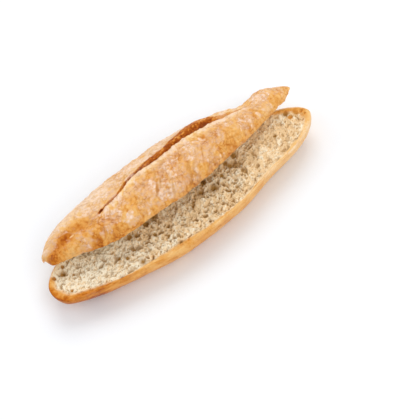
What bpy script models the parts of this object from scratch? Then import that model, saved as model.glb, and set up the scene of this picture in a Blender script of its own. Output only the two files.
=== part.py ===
"""Half baguette, cut open along its length: a bottom half, and a top half that leans back on it.

Each half is first worked out about its own cut plane (z = 0, X along the bread, the open front
towards -Y) as a row of closed sections between two tips. The bottom half then rests on its flat
underside at z = 0 and the top half is tilted and slid back onto its far rim. Metres, +Z up.
"""
import math

import bpy
import numpy as np

MM = 0.001

# Bottom half: length, widest half-width, depth under the cut
BOTTOM_LENGTH = 265 * MM
BOTTOM_HALF_WIDTH = 38.5 * MM
BOTTOM_DEPTH = 22.4 * MM
# Ends of its front edge, back edge and depth: bluntness of the left tip, of the right tip, fullness
BOTTOM_FRONT_ENDS = (3.0, 1.6, 1.8)
BOTTOM_BACK_ENDS = (2.7, 2.1, 1.9)
BOTTOM_DEPTH_ENDS = (1.9, 1.5, 2.8)
ROUND_DEPTH = 1.2 * BOTTOM_DEPTH   # how deep the round sides would go without the flat underside
SIDE_SQUARENESS = 2.5

# Top half: length, half-width, height over the cut, and how its middle line bends
TOP_LENGTH = 257 * MM
TOP_HALF_WIDTH = 35 * MM
TOP_HEIGHT = 23.1 * MM
TOP_ENDS = (2.8, 1.1, 1.7)
TOP_SQUARENESS = 2.2
TOP_BEND = 4.2 * MM
BEND_CENTRE = 0.4          # share of the half-length, squared, at which the middle line is unbent

# How the top half lies: tilted about the bottom half's far rim, then turned and slid back
TOP_TILT = math.radians(19.0)
TOP_YAW = math.radians(1.2)
TOP_PITCH = math.radians(-1.1)
TOP_SLIDE = (5.1 * MM, 23.5 * MM)
TOP_LIFT = 0.6 * MM

# Middle of the whole bread's plan, from the middle of the bottom half: the part's origin
PLAN_MIDDLE = (1.1 * MM, 9.8 * MM)

# Hand-shaped unevenness: (place along X, amount) of smooth swellings, each SWELLING_REACH long
SWELLING_REACH = 20 * MM
BOTTOM_FRONT_SWELLINGS = ((-85 * MM, -1.6 * MM), (-50 * MM, -1.0 * MM), (-22 * MM, -0.8 * MM),
                          (5 * MM, 0.4 * MM), (35 * MM, 1.0 * MM), (72 * MM, -2.4 * MM),
                          (118 * MM, 2.4 * MM))
TOP_FRONT_SWELLINGS = ((-105 * MM, -0.8 * MM), (-70 * MM, 2.8 * MM), (-35 * MM, -0.8 * MM),
                       (124 * MM, 3.5 * MM))
TOP_HEIGHT_SWELLINGS = ((-70 * MM, -0.9 * MM), (-35 * MM, -0.9 * MM), (0.0, -0.7 * MM),
                        (35 * MM, 2.0 * MM), (70 * MM, -1.4 * MM))

# Cut faces
CRUST = 3.5 * MM
CRUMB_RECESS = 1.0 * MM
BOTTOM_MOUND = (4.0 * MM, 20 * MM, 12 * MM)     # height, place across, reach across
TOP_MOUND = (3.0 * MM, -6 * MM, 12 * MM)
MOUND_HALF_LENGTH = 95 * MM
MOUND_ENDS = 1.6           # how steeply the mound falls off towards its two ends
TOUCHING_GAP = 1.1 * MM
PRESSING_PASSES = 3        # repeats of the pressing, as the sloping cut face moves the contact
BOTTOM_RIM_FALL = 3 * MM   # the crumb's relief grows to full over this width inside the crust
TOP_RIM_FALL = 4 * MM
NARROW_RIM = 0.4           # near the tips the crust takes at most this share of the half-width
CRUMB_LUMPS = ((1.1 * MM, 9 * MM), (0.9 * MM, 5 * MM))     # height, size
BOTTOM_CRUMB_SEED = 11
TOP_CRUMB_SEED = 21
# Larger holes in the bottom crumb: along X, across Y, radius, depth
CRUMB_HOLES = (
    (124 * MM, 8 * MM, 2.6 * MM, 2.4 * MM), (116 * MM, 12 * MM, 2.6 * MM, 2.2 * MM),
    (58 * MM, 8 * MM, 3.0 * MM, 2.0 * MM), (50 * MM, 2 * MM, 3.4 * MM, 1.8 * MM),
    (27 * MM, -7 * MM, 3.6 * MM, 2.0 * MM), (16 * MM, -3 * MM, 3.2 * MM, 1.8 * MM),
    (-27 * MM, 6 * MM, 3.6 * MM, 2.4 * MM), (-58 * MM, -26 * MM, 2.6 * MM, 1.6 * MM),
    (-79 * MM, -28 * MM, 2.6 * MM, 1.4 * MM), (-115 * MM, 11 * MM, 3.0 * MM, 2.0 * MM),
)

# The slash in the top crust: its front lip (X, Y) and how far it stands open (X, width)
LIP_LINE = ((-135 * MM, -6 * MM), (-92 * MM, -12.5 * MM), (-68 * MM, -15 * MM), (-46 * MM, -10.4 * MM),
            (-34 * MM, -5.4 * MM), (-20 * MM, -5.4 * MM), (0.0, -6.0 * MM), (20 * MM, -3.7 * MM),
            (40 * MM, -4.2 * MM), (60 * MM, -1.0 * MM), (90 * MM, -1 * MM), (135 * MM, 0.0))
SLASH_WIDTH = ((-135 * MM, 2 * MM), (-66 * MM, 2.5 * MM), (-40 * MM, 3.5 * MM), (-24 * MM, 4.5 * MM),
               (-12 * MM, 8 * MM), (4 * MM, 9.5 * MM), (23 * MM, 13.4 * MM), (36 * MM, 18.2 * MM),
               (48 * MM, 16 * MM), (60 * MM, 6.5 * MM), (72 * MM, 3.5 * MM), (135 * MM, 2 * MM))
SLASH_REACH = (-80 * MM, -60 * MM, 62 * MM, 92 * MM)   # starts, fully cut, closing, closed
LIP_RISE = 1.2 * MM
LIP_OVERHANG = 0.8 * MM
LIP_REACH = 6 * MM
GROOVE_DEPTH = 1.8 * MM
NARROW_DEPTH = 1.6 * MM
FLAP_RISE = 1.0 * MM
FLAP_REACH = 5 * MM
TORN_FROM, TORN_TO = 3 * MM, 9 * MM    # opening widths between plain groove and torn floor
LIP_LIMIT = 0.7            # the slash lines stay within this share of the half-width
LIMIT_POWER = 6            # how sharply they bend over to it
# Height of the torn floor from lip to flap: (share of the opening, height)
FLOOR_PROFILE = ((0.0, LIP_RISE), (0.07, -GROOVE_DEPTH), (0.22, -0.7 * MM), (0.5, 1.5 * MM),
                 (0.78, 1.9 * MM), (0.93, 0.3 * MM), (1.0, FLAP_RISE))

# Soft hollows (negative) and lobes (positive) of the top crust: X, Y, reach X, reach Y, height
TOP_FORMS = (
    (-86 * MM, -13 * MM, 8 * MM, 5 * MM, -2.4 * MM), (-98 * MM, -8 * MM, 12 * MM, 4.5 * MM, -3.0 * MM),
    (-115 * MM, -5 * MM, 9 * MM, 4 * MM, -1.3 * MM), (-102 * MM, -19 * MM, 10 * MM, 6 * MM, 1.6 * MM),
    (44 * MM, 6 * MM, 15 * MM, 6 * MM, 1.2 * MM), (5 * MM, 22 * MM, 14 * MM, 9 * MM, 1.4 * MM),
    (85 * MM, 13 * MM, 9 * MM, 12 * MM, -3.4 * MM), (101 * MM, 10 * MM, 5 * MM, 9 * MM, 1.2 * MM),
    (111 * MM, 8 * MM, 10 * MM, 9 * MM, 2.2 * MM),
    (52 * MM, -17 * MM, 12 * MM, 8 * MM, 0.9 * MM), (-30 * MM, -24 * MM, 14 * MM, 7 * MM, 0.8 * MM),
)

# Smooth lumps of the crusts: height, size, seed
BOTTOM_LUMPS = (0.5 * MM, 22 * MM, 31)
TOP_LUMPS = ((0.7 * MM, 21 * MM, 41), (0.35 * MM, 10 * MM, 42))
# The relief fades out over these depths under the cut, heights over it, and lengths at the tips
BOTTOM_FADE = 6 * MM
TOP_FADE = 8 * MM
TIP_FADE = 6 * MM

SHARP_EDGE = math.radians(50)

# Grid: sections along the bread, and points round each section
BOTTOM_SECTIONS = 80
TOP_SECTIONS = 82
BOTTOM_SIDE_STEPS = 18
TOP_FRONT_STEPS = 12
TOP_BACK_STEPS = 9
CUT_STEPS = 16
LIP_COLUMN = TOP_FRONT_STEPS
FLAP_COLUMN = LIP_COLUMN + len(FLOOR_PROFILE) - 1
TIP_CROWDING = 0.6         # share of the spacing that closes up towards the tips
LATTICE = 160              # points of the seeded noise lattice each way
TINY = 1e-6                # keeps distances from the edge above 0

# Colours of the two baked surfaces, and their roughness
CRUST_COLOUR = (0.72, 0.42, 0.17)
CRUST_ROUGHNESS = 0.6
CRUMB_COLOUR = (0.74, 0.57, 0.36)
CRUMB_ROUGHNESS = 0.9


def ease(t):
    """Cubic step, 0 below 0 and 1 above 1."""
    t = np.clip(t, 0, 1)
    return t * t * (3 - 2 * t)


def hump(distance, reach):
    """Bell curve: 1 at no distance, a third at the reach."""
    return np.exp(-(distance / reach) ** 2)


def through(knots, x):
    """Smooth curve through (x, value) knots: cubics whose slopes follow the neighbouring knots."""
    place, value = np.array(knots).T
    slope = np.gradient(value, place)
    i = np.clip(np.searchsorted(place, x) - 1, 0, len(place) - 2)
    step = place[i + 1] - place[i]
    t = (x - place[i]) / step
    start = (1 + 2 * t) * (1 - t) ** 2 * value[i] + t * (1 - t) ** 2 * step * slope[i]
    end = t * t * (3 - 2 * t) * value[i + 1] + t * t * (t - 1) * step * slope[i + 1]
    return start + end


def lumps(x, y, size, seed):
    """Smooth seeded noise from -1 to 1: lattice values a size apart, eased into each other."""
    lattice = np.random.default_rng(seed).uniform(-1, 1, (LATTICE, LATTICE))
    gx, gy = x / size + LATTICE / 2, y / size + LATTICE / 2
    ix, iy = np.floor(gx).astype(int), np.floor(gy).astype(int)
    tx, ty = ease(gx - ix), ease(gy - iy)
    near = lattice[ix, iy] * (1 - ty) + lattice[ix, iy + 1] * ty
    far = lattice[ix + 1, iy] * (1 - ty) + lattice[ix + 1, iy + 1] * ty
    return near * (1 - tx) + far * tx


def swellings(x, amounts):
    """Sum of the smooth swellings at x."""
    return sum(amount * hump(x - place, SWELLING_REACH) for place, amount in amounts)


def stations(count):
    """Places of the sections between the tips, from -1 to 1, closer together at the ends."""
    s = np.linspace(-1, 1, count + 2)[1:-1]
    return TIP_CROWDING * np.sin(s * math.pi / 2) + (1 - TIP_CROWDING) * s


def fullness(u, ends):
    """Share of the full half-width at u: 1 in the middle, rounding to 0 at the two tips."""
    left, right, full = ends
    return np.clip(1 - np.abs(u) ** np.where(u < 0, left, right), 0, None) ** (1 / full)


def bottom_outline(x):
    """Front and back edge of the bottom half's cut face at x."""
    u = 2 * x / BOTTOM_LENGTH
    share = fullness(u, BOTTOM_FRONT_ENDS)
    front = BOTTOM_HALF_WIDTH * share + swellings(x, BOTTOM_FRONT_SWELLINGS) * np.sqrt(share)
    return -front, BOTTOM_HALF_WIDTH * fullness(u, BOTTOM_BACK_ENDS)


def top_outline(x):
    """Front and back edge of the top half's cut face at x; its tips bend back a little."""
    u = 2 * x / TOP_LENGTH
    share = fullness(u, TOP_ENDS)
    middle = TOP_BEND * (u * u - BEND_CENTRE)
    front = TOP_HALF_WIDTH * share + swellings(x, TOP_FRONT_SWELLINGS) * np.sqrt(share)
    return middle - front, middle + TOP_HALF_WIDTH * share


def inset(x, y, outline, length):
    """Distance in from the edge of a cut face, from both its sides and its tips."""
    front, back = outline(x)
    across = np.maximum(np.minimum(y - front, back - y), TINY)
    along = np.maximum(length / 2 - np.abs(x), TINY)
    return (across ** -2 + along ** -2) ** -0.5


def mound(x, y, form):
    """Torn crumb standing up along the middle of a cut face."""
    height, place, reach = form
    ends = ease(MOUND_ENDS * (1 - np.abs(x) / MOUND_HALF_LENGTH))
    return height * hump(y - place, reach) * ends


def crumb(x, y, seed):
    """Coarse crumb: larger and smaller lumps, each with a seed of its own."""
    return sum(height * lumps(x, y, size, seed + i) for i, (height, size) in enumerate(CRUMB_LUMPS))


def top_cut_height(x, y):
    """Height of the top half's cut face in its own frame: flat crust rim, crumb hanging down."""
    inside = ease((inset(x, y, top_outline, TOP_LENGTH) - CRUST) / TOP_RIM_FALL)
    return inside * (CRUMB_RECESS - mound(x, y, TOP_MOUND) - crumb(x, y, TOP_CRUMB_SEED))


def bottom_cut_height(x, y):
    """Height of the bottom half's cut face: flat crust rim, sunk crumb, holes and the mound."""
    inside = ease((inset(x, y, bottom_outline, BOTTOM_LENGTH) - CRUST) / BOTTOM_RIM_FALL)
    holes = sum(depth * hump(np.hypot(x - hx, y - hy), radius)
                for hx, hy, radius, depth in CRUMB_HOLES)
    relief = mound(x, y, BOTTOM_MOUND) + crumb(x, y, BOTTOM_CRUMB_SEED)
    return inside * (relief - CRUMB_RECESS - holes)


def top_turn():
    """Rotation of the top half: tilt about X with the front edge up, then yaw, then pitch."""
    c, s = math.cos(TOP_TILT), math.sin(TOP_TILT)
    tilt = np.array([[1, 0, 0], [0, c, s], [0, -s, c]])
    c, s = math.cos(TOP_YAW), math.sin(TOP_YAW)
    yaw = np.array([[c, -s, 0], [s, c, 0], [0, 0, 1]])
    c, s = math.cos(TOP_PITCH), math.sin(TOP_PITCH)
    pitch = np.array([[c, 0, -s], [0, 1, 0], [s, 0, c]])
    return pitch @ yaw @ tilt


def top_pivot_and_place():
    """The far rim in the top half's own frame, and where it comes to lie."""
    slide_x, slide_y = TOP_SLIDE
    pivot = np.array([0, BOTTOM_HALF_WIDTH, 0])
    drop = slide_y * math.tan(TOP_TILT)     # so that the cut plane still passes over the far rim
    return pivot, pivot + np.array([slide_x, slide_y, TOP_LIFT - drop])


def place_top(points):
    """Top half's own frame to the bottom half's."""
    pivot, place = top_pivot_and_place()
    return (points - pivot) @ top_turn().T + place


def unplace_top(points):
    """Bottom half's frame to the top half's own."""
    pivot, place = top_pivot_and_place()
    return (points - place) @ top_turn() + pivot


def pressed_by_top(points):
    """Bottom crumb pressed down wherever it would come closer than the gap to the top's cut face."""
    pressed = points.copy()
    for _ in range(PRESSING_PASSES):
        local = unplace_top(pressed)
        x = np.clip(local[..., 0], -TOP_LENGTH / 2, TOP_LENGTH / 2)
        over = local[..., 2] - (top_cut_height(x, local[..., 1]) - TOUCHING_GAP)
        covered = inset(x, local[..., 1], top_outline, TOP_LENGTH) > MM
        pressed[..., 2] -= np.where(covered, np.maximum(over, 0), 0)
    return pressed


def arc(angle, squareness):
    """Superellipse from the front (-1, 0) over (0, 1) to the back (1, 0)."""
    c, s = np.cos(angle), np.sin(angle)
    return -np.sign(c) * np.abs(c) ** (2 / squareness), np.abs(s) ** (2 / squareness)


def arc_angle(across, squareness):
    """Angle at which the superellipse is at that share across."""
    return np.arccos(-np.sign(across) * np.abs(across) ** (squareness / 2))


def cut_rows(x, outline, height):
    """Cut face of each section, from the back rim's inner edge to the front rim's."""
    front, back = outline(x)
    half = (back - front) / 2
    rim = np.minimum(CRUST, NARROW_RIM * half)
    steps = np.linspace(1, -1, CUT_STEPS + 1)
    y = (front + back)[:, None] / 2 + (half - rim)[:, None] * steps
    x = np.repeat(x[:, None], len(steps), 1)
    return np.stack([x, y, height(x, y)], -1)


def bottom_rows():
    """Closed sections of the bottom half: round side, flat underside, then the cut face."""
    x = stations(BOTTOM_SECTIONS) * BOTTOM_LENGTH / 2
    front, back = bottom_outline(x)
    across, down = arc(np.linspace(0, math.pi, BOTTOM_SIDE_STEPS + 1), SIDE_SQUARENESS)
    half = np.where(across < 0, -front[:, None], back[:, None])
    y = across * half
    share = fullness(2 * x / BOTTOM_LENGTH, BOTTOM_DEPTH_ENDS)
    depth = ROUND_DEPTH * share[:, None] * down
    x_all = np.repeat(x[:, None], len(across), 1)
    height, size, seed = BOTTOM_LUMPS
    wobble = height * lumps(x_all, y, size, seed) * ease(depth / BOTTOM_FADE)
    y *= 1 + wobble / BOTTOM_HALF_WIDTH
    side = np.stack([x_all, y, -np.minimum(depth, BOTTOM_DEPTH)], -1)
    face = pressed_by_top(cut_rows(x, bottom_outline, bottom_cut_height))
    return np.concatenate([side, face], 1)


def slash_strength(x):
    """How far the slash is cut at x, from 0 to 1."""
    starts, full, closing, closed = SLASH_REACH
    return ease((x - starts) / (full - starts)) * ease((closed - x) / (closed - closing))


def slash_lines(x):
    """Section angles of the slash's front lip and back edge; near the tips they close in."""
    front, back = top_outline(x)
    half, middle = (back - front) / 2, (back + front) / 2
    lip = through(LIP_LINE, x)
    angles = []
    for line in (lip, lip + through(SLASH_WIDTH, x)):
        y = line - middle
        limit = (half ** LIMIT_POWER + (y / LIP_LIMIT) ** LIMIT_POWER) ** (1 / LIMIT_POWER)
        angles.append(arc_angle(y / limit, TOP_SQUARENESS)[:, None])
    return angles


def top_columns(x):
    """Section angle of each column of the top crust: front flank, slash, back flank."""
    lip, flap = slash_lines(x)
    opening = np.array([share for share, rise in FLOOR_PROFILE])
    to_lip = np.linspace(0, 1, TOP_FRONT_STEPS + 1)[:-1]
    to_back = np.linspace(0, 1, TOP_BACK_STEPS + 1)[1:]
    return np.concatenate(
        [lip * to_lip, lip + (flap - lip) * opening, flap + (math.pi - flap) * to_back], 1)


def smooth_top(x):
    """Top crust without relief: superellipse sections on the outline."""
    front, back = top_outline(x)
    share = fullness(2 * x / TOP_LENGTH, TOP_ENDS)
    height = TOP_HEIGHT * share + swellings(x, TOP_HEIGHT_SWELLINGS) * np.sqrt(share)
    across, up = arc(top_columns(x), TOP_SQUARENESS)
    y = (front + back)[:, None] / 2 + across * (back - front)[:, None] / 2
    return np.stack([np.repeat(x[:, None], y.shape[1], 1), y, height[:, None] * up], -1)


def crust_forms(x, y):
    """Soft hollows and lobes of the top crust, and its small lumps."""
    forms = sum(rise * hump(x - fx, rx) * hump(y - fy, ry) for fx, fy, rx, ry, rise in TOP_FORMS)
    return forms + sum(height * lumps(x, y, size, seed) for height, size, seed in TOP_LUMPS)


def slash_relief(x, y, torn):
    """Relief of the slash: raised lip and flap, and between them the torn floor or a groove."""
    rise = np.zeros_like(y)
    floor = np.array([height for share, height in FLOOR_PROFILE])
    groove = np.full(len(floor), -NARROW_DEPTH)
    groove[0], groove[-1] = LIP_RISE, FLAP_RISE
    rise[:, LIP_COLUMN:FLAP_COLUMN + 1] = groove + torn * (floor - groove)
    lip, flap = y[:, LIP_COLUMN, None], y[:, FLAP_COLUMN, None]
    rise[:, :LIP_COLUMN] = LIP_RISE * np.exp((y[:, :LIP_COLUMN] - lip) / LIP_REACH)
    rise[:, FLAP_COLUMN + 1:] = FLAP_RISE * np.exp((flap - y[:, FLAP_COLUMN + 1:]) / FLAP_REACH)
    return rise * slash_strength(x)[:, None]


def top_rows():
    """Closed sections of the top half: crust with its relief, then the cut face."""
    x = stations(TOP_SECTIONS) * TOP_LENGTH / 2
    shell = smooth_top(x)
    normal = np.cross(np.gradient(shell, axis=0), np.gradient(shell, axis=1))
    normal /= np.linalg.norm(normal, axis=-1, keepdims=True)
    torn = ease((through(SLASH_WIDTH, x) - TORN_FROM) / (TORN_TO - TORN_FROM))[:, None]
    rise = crust_forms(shell[..., 0], shell[..., 1]) + slash_relief(x, shell[..., 1], torn)
    from_tip = TOP_LENGTH / 2 - np.abs(shell[..., 0])
    fade = ease(shell[..., 2] / TOP_FADE) * ease(from_tip / TIP_FADE)
    shell += normal * (rise * fade)[..., None]
    shell[:, LIP_COLUMN, 1] += LIP_OVERHANG * slash_strength(x) * torn[:, 0]
    face = cut_rows(x, top_outline, top_cut_height)
    return place_top(np.concatenate([shell, face], 1))


def tips(length):
    """The two end points of a half in its own frame."""
    return np.array([[-length / 2, 0, 0], [length / 2, 0, 0]])


def signed_volume(points, faces):
    """Volume of the closed mesh, positive when its faces point out; faces are split as fans."""
    total = 0.0
    for face in faces:
        a = points[face[0]]
        for b, c in zip(face[1:-1], face[2:]):
            total += np.dot(a, np.cross(points[b], points[c])) / 6
    return total


def close_rows(rows, ends):
    """Vertices and outward faces of a solid: rings of quads, and a fan of triangles at each tip."""
    count, around = rows.shape[:2]
    points = np.concatenate([rows.reshape(-1, 3), ends])
    left, right = count * around, count * around + 1
    faces = []
    for i in range(count - 1):
        for j in range(around):
            k = (j + 1) % around
            faces.append((i * around + j, (i + 1) * around + j, (i + 1) * around + k, i * around + k))
    for j in range(around):
        k = (j + 1) % around
        faces.append((left, j, k))
        faces.append((right, (count - 1) * around + k, (count - 1) * around + j))
    if signed_volume(points, faces) < 0:
        faces = [face[::-1] for face in faces]
    return points, faces


def baked_material(name, colour, roughness):
    """Principled material of one baked surface."""
    material = bpy.data.materials.new(name)
    material.use_nodes = True
    shader = material.node_tree.nodes["Principled BSDF"]
    shader.inputs["Base Color"].default_value = (*colour, 1)
    shader.inputs["Roughness"].default_value = roughness
    shader.inputs["Metallic"].default_value = 0
    return material


def add_half(name, points, faces, around, cut_from, materials):
    """One half as an object; faces from column cut_from on are crumb, the others crust."""
    mesh = bpy.data.meshes.new(name)
    mesh.from_pydata(points.tolist(), [], faces)
    for material in materials:
        mesh.materials.append(material)
    for polygon in mesh.polygons:
        columns = [v % around for v in polygon.vertices if v < len(points) - 2]
        polygon.material_index = int(min(columns) >= cut_from)
    mesh.shade_smooth()
    mesh.set_sharp_from_angle(angle=SHARP_EDGE)
    half = bpy.data.objects.new(name, mesh)
    bpy.context.scene.collection.objects.link(half)
    return half


def main():
    """Clears the scene and builds both halves about the middle of the underside of the whole."""
    for old in list(bpy.data.objects):
        bpy.data.objects.remove(old)
    crust = baked_material("crust", CRUST_COLOUR, CRUST_ROUGHNESS)
    crumb_white = baked_material("crumb", CRUMB_COLOUR, CRUMB_ROUGHNESS)
    bottom, top = bottom_rows(), top_rows()
    origin = np.array([*PLAN_MIDDLE, -BOTTOM_DEPTH])
    for name, rows, ends in (
            ("bottom_half", bottom, tips(BOTTOM_LENGTH)),
            ("top_half", top, place_top(tips(TOP_LENGTH)))):
        points, faces = close_rows(rows - origin, ends - origin)
        around = rows.shape[1]
        add_half(name, points, faces, around, around - CUT_STEPS - 1, (crust, crumb_white))


main()
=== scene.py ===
"""Looks of a half baguette, cut open along its length; its top half leans back on the bottom half.

Each half is a crust shell round a crumb core, worked out about its own cut plane (z = 0, X along
the bread, the open front towards -Y) on the outline of its solid. It gets what the solids leave
out: torn crumb and pores, blisters, marks and strands. Masks on the vertices say how far the crust
is baked, floured, white or creased, and how open, pale or baked to rind the crumb is; the materials
turn them into colours. Metres, +Z up.
"""
import math

import bpy
import numpy as np
from mathutils import Matrix, Vector


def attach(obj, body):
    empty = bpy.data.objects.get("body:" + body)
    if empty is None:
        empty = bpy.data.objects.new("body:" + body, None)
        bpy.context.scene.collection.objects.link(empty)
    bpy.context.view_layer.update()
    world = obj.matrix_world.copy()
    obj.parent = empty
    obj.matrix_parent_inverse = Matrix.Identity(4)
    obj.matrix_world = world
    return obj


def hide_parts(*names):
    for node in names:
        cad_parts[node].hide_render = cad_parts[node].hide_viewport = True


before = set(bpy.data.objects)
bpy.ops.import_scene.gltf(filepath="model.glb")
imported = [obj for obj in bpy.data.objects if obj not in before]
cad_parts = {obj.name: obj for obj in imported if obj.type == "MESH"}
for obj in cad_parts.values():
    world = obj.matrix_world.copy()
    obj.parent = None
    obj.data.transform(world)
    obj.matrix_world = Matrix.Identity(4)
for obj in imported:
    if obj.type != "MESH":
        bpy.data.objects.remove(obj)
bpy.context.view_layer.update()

MM = 0.001


def in_metres(rows, plain=0):
    """Rows of millimetres turned to metres, apart from the last few plain values of each."""
    return tuple(tuple(value * MM for value in row[:len(row) - plain]) + row[len(row) - plain:]
                 for row in rows)


# ---- Shape of the two halves, as their solids have it ----
BOTTOM_LENGTH = 265 * MM
BOTTOM_HALF_WIDTH = 38.5 * MM
BOTTOM_DEPTH = 22.4 * MM
BOTTOM_FRONT_ENDS = (3.0, 1.6, 1.8)
BOTTOM_BACK_ENDS = (2.7, 2.1, 1.9)
BOTTOM_DEPTH_ENDS = (1.9, 1.5, 2.8)
ROUND_DEPTH = 1.2 * BOTTOM_DEPTH
SIDE_SQUARENESS = 2.5
TOP_LENGTH = 257 * MM
TOP_HALF_WIDTH = 35 * MM
TOP_HEIGHT = 23.1 * MM
TOP_ENDS = (2.8, 1.1, 1.7)
TOP_SQUARENESS = 2.2
TOP_BEND = 4.2 * MM
BEND_CENTRE = 0.4
TOP_TILT = math.radians(19.0)
TOP_YAW = math.radians(1.2)
TOP_PITCH = math.radians(-1.1)
TOP_SLIDE = (5.1 * MM, 23.5 * MM)
TOP_LIFT = 0.6 * MM
PLAN_MIDDLE = (1.1 * MM, 9.8 * MM)
SWELLING_REACH = 20 * MM
BOTTOM_FRONT_SWELLINGS = in_metres((
    (-85, -1.6), (-50, -1.0), (-22, -0.8), (5, 0.4), (35, 1.0), (72, -2.4), (118, 2.4),
))
TOP_FRONT_SWELLINGS = in_metres(((-105, -0.8), (-70, 2.8), (-35, -0.8), (124, 3.5)))
TOP_HEIGHT_SWELLINGS = in_metres(((-70, -0.9), (-35, -0.9), (0.0, -0.7), (35, 2.0), (70, -1.4)))
CRUST = 3.5 * MM
CRUMB_RECESS = 1.0 * MM
BOTTOM_MOUND = (4.0 * MM, 20 * MM, 12 * MM)
TOP_MOUND = (3.0 * MM, -6 * MM, 12 * MM)
MOUND_HALF_LENGTH = 95 * MM
MOUND_ENDS = 1.6
TOUCHING_GAP = 1.1 * MM
PRESSING_PASSES = 3
BOTTOM_RIM_FALL = 3 * MM
TOP_RIM_FALL = 4 * MM
CRUMB_LUMPS = in_metres(((1.1, 9), (0.9, 5)))
BOTTOM_CRUMB_SEED = 11
TOP_CRUMB_SEED = 21
CRUMB_HOLES = in_metres((
    (124, 8, 2.6, 2.4), (116, 12, 2.6, 2.2), (58, 8, 3.0, 2.0), (50, 2, 3.4, 1.8),
    (27, -7, 3.6, 2.0), (16, -3, 3.2, 1.8), (-27, 6, 3.6, 2.4), (-58, -26, 2.6, 1.6),
    (-79, -28, 2.6, 1.4), (-115, 11, 3.0, 2.0),
))
LIP_LINE = in_metres((
    (-135, -6), (-92, -12.5), (-68, -15), (-46, -10.4), (-34, -5.4), (-20, -5.4), (0.0, -6.0),
    (20, -3.7), (40, -4.2), (60, -1.0), (90, -1), (135, 0.0),
))
SLASH_WIDTH = in_metres((
    (-135, 2), (-66, 2.5), (-40, 3.5), (-24, 4.5), (-12, 8), (4, 9.5), (23, 13.4), (36, 18.2),
    (48, 16), (60, 6.5), (72, 3.5), (135, 2),
))
SLASH_REACH = (-80 * MM, -60 * MM, 62 * MM, 92 * MM)
LIP_RISE = 1.2 * MM
LIP_OVERHANG = 0.8 * MM
LIP_REACH = 6 * MM
GROOVE_DEPTH = 1.8 * MM
NARROW_DEPTH = 1.6 * MM
FLAP_RISE = 1.0 * MM
FLAP_REACH = 5 * MM
TORN_FROM, TORN_TO = 3 * MM, 9 * MM     # widths at which the groove turns to a torn floor
LIP_LIMIT = 0.7
LIMIT_POWER = 6
RAGGED_LIP = (0.6 * MM, 7 * MM, 81)     # height, size, seed
LEAST_OPENING = math.radians(2)
FLOOR_PROFILE = ((0.0, LIP_RISE), (0.07, -GROOVE_DEPTH), (0.22, -0.7 * MM), (0.5, 1.5 * MM),
                 (0.78, 1.9 * MM), (0.93, 0.3 * MM), (1.0, FLAP_RISE))
GROOVE_PROFILE = ((0.0, LIP_RISE), (0.3, -NARROW_DEPTH), (0.7, -NARROW_DEPTH), (1.0, FLAP_RISE))
TOP_FORMS = in_metres((
    (-86, -13, 8, 5, -2.4), (-98, -8, 12, 4.5, -3.0), (-115, -5, 9, 4, -1.3),
    (-102, -19, 10, 6, 1.6), (44, 6, 15, 6, 1.2), (5, 22, 14, 9, 1.4), (85, 13, 9, 12, -3.4),
    (101, 10, 5, 9, 1.2), (111, 8, 10, 9, 2.2), (52, -17, 12, 8, 0.9), (-30, -24, 14, 7, 0.8),
))
BOTTOM_LUMPS = (0.5 * MM, 22 * MM, 31)
TOP_LUMPS = in_metres(((0.7, 21, 41), (0.35, 10, 42)), 1)
BOTTOM_FADE = 6 * MM
TOP_FADE = 8 * MM
TIP_FADE = 6 * MM
TIP_CROWDING = 0.6
LATTICE = 160
TINY = 1e-6

# ---- Fineness: sections along the bread, and columns round each section ----
CRUST_SECTIONS = 440
CRUMB_SECTIONS = 600
SIDE_COLUMNS = 190
FLANK_COLUMNS = 84
SLASH_COLUMNS = 40
BACK_COLUMNS = 62
LIP_COLUMN, FLAP_COLUMN = FLANK_COLUMNS, FLANK_COLUMNS + SLASH_COLUMNS
INNER = slice(LIP_COLUMN, FLAP_COLUMN + 1)     # columns of the slash
CUT_COLUMNS = 145
WALL_COLUMNS = 8
FRONT_CROWDING = 0.45      # share of the crumb's column spacing that closes up towards the front

# ---- How the shells and the cores fit together, hidden inside ----
LAP = 1.3 * MM             # width of the crust's flat edge over the core
LAP_SHARE = 0.3            # of the half-width, at most, near the tips
LAP_PLACES = (0.25, 0.6, 1.0)       # columns of the lap, and their heights as shares of its rise
LAP_HEIGHTS = (0.6, 1.0, 1.0)
LAP_STEPS = len(LAP_PLACES)
LAP_RISE = 0.05 * MM
TUCK = 0.6 * MM            # how far inside the outline the core's edge starts
SHELL_SHARE = 0.82         # inner wall of the crust, as a share of its outside
CORE_SHARE = 0.76          # hidden side of the core
CORE_TIPS = 0.998          # where the core ends
HEEL_ROUNDING = 1.6 * MM   # where the sides turn into the flat underside

# ---- Torn edges, in the cut plane: height, size, seed ----
EDGE_TEARS = in_metres(((0.7, 7, 131), (0.45, 3, 132)), 1)
# the front edge's tears towards the tips: along, how far outwards, reach
TIP_TEARS = in_metres((
    (-127.8, -17, 1.5), (-124, 4.8, 3.2), (-112, -1.4, 3.5), (-100.5, -2.4, 6), (99, 0.7, 3.5),
    (107, -0.9, 3.5), (114, 0.8, 3.5), (120, -0.6, 3.5),
))
TIP_TEAR_FADE = 3.5 * MM   # over which the tears fade out at the very tips
TIP_JAGS = (0.9 * MM, 2.4 * MM, 133)
JAGGED_FROM = (88, 12)     # mm from the middle, and over how much they set in
# the bottom half's front edge: bulge at the left tip as above, and swings: along, how far outwards
LEFT_TIP_BULGE = (-129 * MM, 6.0 * MM, 7 * MM)
FRONT_SWINGS = in_metres((
    (-133, 0.0), (-119, -0.4), (-107, -2.3), (-91, -2.3), (-75, -2.5), (-58, -1.6), (-42, 0.9),
    (-27, 1.9), (-12, 1.6), (4, 0.8), (20, 0.0), (36, 0.0), (60, 0.0), (133, 0.0),
))

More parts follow.
